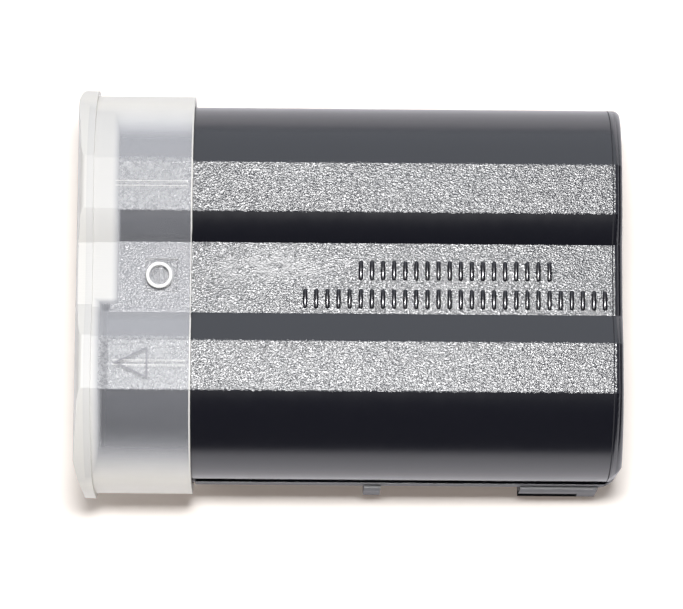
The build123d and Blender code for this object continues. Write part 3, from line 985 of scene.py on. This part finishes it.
@dataclass
class TerminalCover:
    """The frosted cover, with the insertion arrow on one lobe and the bead round its gate."""

    flange_depth: float = 1.45
    step_place: float = -24.3
    nose_place: float = -26.1
    nose_edge: float = -2.8
    rib_edges: tuple[float, ...] = (-9.64, -9.14, 9.14, 9.64)
    valley_half: float = 2.5
    sleeve_end: float = 3.0
    arrow_middle: tuple[float, float] = (-21.9, -9.4)
    arrow_length: float = 3.5
    arrow_width: float = 3.3
    arrow_stroke: float = 0.16
    arrow_rise: float = 0.05
    arrow_turn: float = math.radians(-90)
    gate_depth: float = 3.35
    bead_radius: float = 1.2
    bead_thickness: float = 0.19
    bead_segments: int = 64
    bead_sides: int = 16

    def __post_init__(self) -> None:
        """Read the cover's levels from the frame and mix its finishes."""
        low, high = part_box("terminal_cover")
        self.rim_x = high[0]
        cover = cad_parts["terminal_cover"]
        sleeve = [v.co for v in cover.data.vertices if v.co.x > self.rim_x - self.sleeve_end * MM]
        self.crown_z = max(co.z for co in sleeve)
        self.valley_z = max(co.z for co in sleeve if abs(co.y) < self.valley_half * MM)
        self.finish = FrostedPolypropylene(
            "frosted_polypropylene",
            "#e9ebf4",
            0.34,
            thick_colour="#dedbd4",
            flange_x=low[0] + self.flange_depth * MM,
            rim_x=self.rim_x,
            crown_z=self.crown_z,
            valley_z=self.valley_z,
            step_mm=self.step_place,
            nose_mm=self.nose_place,
            nose_edge_mm=self.nose_edge,
            rib_edges_mm=self.rib_edges,
        ).material()
        # milky white that catches the lamp on the rounded bead
        self.thick_finish = GrainedFinish(
            "solid_polypropylene", "#fbfbfa", 0.22, "#f2f1ef", Grain.CLOUDY, 0.8, 0.004, ior=1.49
        ).material()
        # painted shade of a raised edge's flank: a grey copy of the cover's plastic, so that the thin arrow
        # reads as a grey line
        self.painted_shade_finish = GrainedFinish(
            "polypropylene_painted_shade", "#85848b", 0.5, "#7b7a81", Grain.CLOUDY, 0.8, 0.004, ior=1.49
        ).material()

    def dress(self) -> None:
        """Dress the cover."""
        wear(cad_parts["terminal_cover"], self.finish)

    def build_arrow(self) -> bpy.types.Object:
        """Model the raised outline of the arrow that points to the terminal end.

        Returns:
            The arrow.
        """
        deselect()
        bpy.ops.mesh.primitive_circle_add(vertices=3, radius=MM, fill_type="NGON")
        arrow = bpy.context.object
        bpy.ops.object.mode_set(mode="EDIT")
        bpy.ops.mesh.select_all(action="SELECT")
        bpy.ops.transform.rotate(value=self.arrow_turn, orient_axis="Z", center_override=(0, 0, 0))
        bpy.ops.object.mode_set(mode="OBJECT")
        arrow.dimensions = (self.arrow_length * MM, self.arrow_width * MM, 0)
        bpy.ops.object.transform_apply(location=False, rotation=False, scale=True)
        bpy.ops.object.mode_set(mode="EDIT")
        bpy.ops.mesh.inset(thickness=self.arrow_stroke * MM)
        bpy.ops.mesh.delete(type="FACE")
        bpy.ops.mesh.select_all(action="SELECT")
        bpy.ops.mesh.extrude_region_move(TRANSFORM_OT_translate={"value": (0, 0, self.arrow_rise * MM)})
        bpy.ops.mesh.select_all(action="SELECT")
        bpy.ops.mesh.normals_make_consistent(inside=False)
        bpy.ops.object.mode_set(mode="OBJECT")
        arrow.location = (self.arrow_middle[0] * MM, self.arrow_middle[1] * MM, self.crown_z)
        # the arrow wears the painted shade, not the cover's own milky plastic
        wear(arrow, self.painted_shade_finish)
        return settle(arrow, "insertion_arrow", COVER_BODY)

    def build_gate_bead(self) -> bpy.types.Object:
        """Model the rounded bead round the gate.

        Returns:
            The bead.
        """
        deselect()
        bpy.ops.mesh.primitive_torus_add(
            location=(self.rim_x - self.gate_depth * MM, 0, self.valley_z),
            major_segments=self.bead_segments,
            minor_segments=self.bead_sides,
            major_radius=self.bead_radius * MM,
            minor_radius=self.bead_thickness * MM,
        )
        bead = bpy.context.object
        bpy.ops.object.mode_set(mode="EDIT")
        bpy.ops.mesh.select_all(action="SELECT")
        bpy.ops.mesh.bisect(
            plane_co=(0, 0, self.valley_z), plane_no=(0, 0, -1), use_fill=False, clear_outer=True
        )
        bpy.ops.object.mode_set(mode="OBJECT")
        bpy.ops.object.shade_smooth_by_angle(angle=SMOOTH_ANGLE)
        wear(bead, self.thick_finish)
        return settle(bead, "gate_bead", COVER_BODY)


INNER_FINISHES: dict[Finish, tuple[str, ...]] = {
    # dull silver cans with faint lines along their length
    GrainedFinish(
        "nickel_plated_can",
        "#b9b7b0",
        0.3,
        "#a4a29b",
        Grain.CLOUDY,
        0.6,
        0.004,
        metallic=1.0,
        stretch=(0.05, 1, 1),
    ): ("cell_a", "cell_b"),
    # film that clings with a slow, wavy gloss
    GrainedFinish("shrink_film_teal", "#2c7f8c", 0.28, "#25707c", Grain.CLOUDY, 4.0, 0.01): (
        "cell_sleeve_a",
        "cell_sleeve_b",
    ),
    # dry grey-green paper with a mottled press
    GrainedFinish("calendered_paper", "#c4cbb4", 0.75, "#a9b199", Grain.CLOUDY, 0.5, 0.02): (
        "insulator_ring_a",
        "insulator_ring_b",
        "link_insulator",
        "base_insulator",
        "tab_insulator",
    ),
    # warm bright strip with rolling lines
    GrainedFinish(
        "rolled_nickel",
        "#c6c2b8",
        0.28,
        "#aeaaa0",
        Grain.CLOUDY,
        0.3,
        0.004,
        metallic=1.0,
        stretch=(1, 0.05, 1),
    ): ("series_link", "positive_tab", "negative_tab", "midpoint_tab"),
    # glossy green coat with a slight cloud
    GrainedFinish("solder_mask_green", "#1d5b36", 0.32, "#17492b", Grain.CLOUDY, 1.2, 0.006): (
        "protection_board",
    ),
    # matt black with fine pits
    GrainedFinish("moulded_epoxy", "#1e1e20", 0.55, "#2a2a2c", Grain.PITTED, 0.15, 0.01): (
        "protection_ic",
        "switch_transistors",
        "thermistor",
    ),
    # dull tan with a fine tooth
    GrainedFinish("fired_ceramic", "#a58a68", 0.5, "#8f7657", Grain.PITTED, 0.2, 0.008): (
        "board_resistors",
        "board_capacitors",
        "chip_fuse",
    ),
    # soft gold, brushed along the folds
    GrainedFinish(
        "gold_plated_bronze",
        "#d8b765",
        0.26,
        "#c7a455",
        Grain.CLOUDY,
        0.4,
        0.003,
        metallic=1.0,
        stretch=(1, 1, 0.1),
    ): ("contact_positive", "contact_signal", "contact_negative"),
    # dark, dead matt cells
    GrainedFinish("closed_cell_foam", "#3a3a3c", 0.9, "#2c2c2e", Grain.PITTED, 0.35, 0.05): (
        "adhesive_pad_a",
        "adhesive_pad_b",
    ),
}


@dataclass(frozen=True)
class SoftBox:
    """A rectangular lamp that faces the pack."""

    name: str
    place: tuple[float, float, float]
    size: tuple[float, float]
    watts: float
    mirrored: bool = True

    def hang(self) -> None:
        """Hang the lamp, and show it in the glossy lobes only if it is mirrored."""
        deselect()
        middle = Vector(self.place) * MM
        bpy.ops.object.light_add(type="AREA", location=middle)
        lamp = bpy.context.object
        lamp.name = self.name
        lamp.data.shape = "RECTANGLE"
        lamp.data.size, lamp.data.size_y = (side * MM for side in self.size)
        lamp.data.energy = self.watts
        lamp.rotation_euler = (-middle).to_track_quat("-Z", "Y").to_euler()
        lamp.visible_glossy = self.mirrored


@dataclass
class Studio:
    """Floor, lamps, backdrop and camera."""

    eye: tuple[float, float, float] = (-5.37, -72.09, 402.86)
    forward: tuple[float, float, float] = (0.0116, 0.1786, -0.9839)
    right: tuple[float, float, float] = (0.9999, 0.006, 0.0129)
    focal_px: float = 3755.4
    image_width_px: float = 683.0
    sensor: float = 36.0
    near_clip: float = 10.0
    floor_size: float = 4000.0
    floor_lift: float = 1.5
    floor_start: float = -27.0
    floor_end: float = 27.0
    floor_finish: Finish = WhitePaper("white_paper", "#faf5f0", 0.9)
    wall_colour: str = "#f0f6ff"
    wall_range: tuple[float, float] = (0.25, 0.6)
    dark_side: float = 0.04
    bright_side: float = 0.9
    backdrop_colour: str = "#ffffff"
    backdrop_strength: float = 1.0
    lamps: tuple[SoftBox, ...] = (
        SoftBox("overhead_softbox", (0.0, 10.0, 420.0), (85.0, 46.0), 1.7),
        SoftBox("front_fill", (-20.0, -350.0, 100.0), (300.0, 200.0), 0.42, mirrored=False),
    )

    def build_floor(self) -> None:
        """Lay a white floor under the flange and the closed end, a little out of level as they are."""
        deselect()
        bpy.ops.mesh.primitive_plane_add(size=self.floor_size * MM)
        floor = bpy.context.object
        tilt = math.atan2(self.floor_lift, self.floor_end - self.floor_start)
        floor.rotation_euler = (0, -tilt, 0)
        floor.location = (self.floor_start * MM, 0, 0)
        bpy.ops.object.transform_apply(location=True, rotation=True, scale=True)
        floor.name = "floor"
        wear(floor, self.floor_finish.material())

    def build_world(self) -> None:
        """Give a studio with a white wall behind the pack, dark behind the camera, that shows white."""
        world = bpy.data.worlds.new("studio_world")
        bpy.context.scene.world = world
        world.use_nodes = True
        tree = world.node_tree
        tree.nodes.clear()
        direction = add_node(tree, "ShaderNodeTexCoord").outputs["Generated"]
        depth = add_node(tree, "ShaderNodeSeparateXYZ", links={"Vector": direction}).outputs["Y"]
        wall = add_node(
            tree,
            "ShaderNodeMapRange",
            {
                "From Min": self.wall_range[0],
                "From Max": self.wall_range[1],
                "To Min": self.dark_side,
                "To Max": self.bright_side,
            },
            {"Value": depth},
            interpolation_type="SMOOTHSTEP",
        )
        seen = add_node(tree, "ShaderNodeLightPath").outputs["Is Camera Ray"]
        strength = add_node(
            tree,
            "ShaderNodeMix",
            {NUMBER_B: self.backdrop_strength},
            {FACTOR: seen, NUMBER_A: wall.outputs[0]},
            data_type="FLOAT",
        )
        tint = add_node(
            tree,
            "ShaderNodeMix",
            {COLOUR_A: linear(self.wall_colour), COLOUR_B: linear(self.backdrop_colour)},
            {FACTOR: seen},
            data_type="RGBA",
        )
        backdrop = add_node(
            tree,
            "ShaderNodeBackground",
            links={"Color": tint.outputs[MIXED_COLOUR], "Strength": strength.outputs[MIXED_NUMBER]},
        )
        add_node(tree, "ShaderNodeOutputWorld", links={"Surface": backdrop.outputs[0]})

    def build_camera(self) -> None:
        """Set the camera where the photograph was taken from."""
        deselect()
        bpy.ops.object.camera_add()
        camera = bpy.context.object
        forward = Vector(self.forward).normalized()
        right = Vector(self.right).normalized()
        up = right.cross(forward)
        turn = Matrix((right, up, -forward)).transposed().to_4x4()
        camera.matrix_world = Matrix.Translation(Vector(self.eye) * MM) @ turn
        camera.data.sensor_width = self.sensor
        camera.data.lens = self.focal_px / self.image_width_px * self.sensor
        camera.data.clip_start = self.near_clip * MM
        bpy.context.scene.camera = camera

    def build(self) -> None:
        """Build the whole studio."""
        self.build_floor()
        self.build_world()
        self.build_camera()
        for lamp in self.lamps:
            lamp.hang()
        bpy.context.scene.view_settings.view_transform = "Standard"


def main() -> None:
    """Dress the pack and build its studio."""
    logging.basicConfig(level=logging.INFO)
    housing = Housing()
    housing.dress()
    housing.build_ribs()
    cover = TerminalCover()
    cover.dress()
    cover.build_arrow()
    cover.build_gate_bead()
    for finish, nodes in INNER_FINISHES.items():
        material = finish.material()
        for node in nodes:
            wear(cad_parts[node], material)
            LOG.info("%s: %s", node, finish.name)
    Studio().build()


if __name__ == "__main__":
    main()
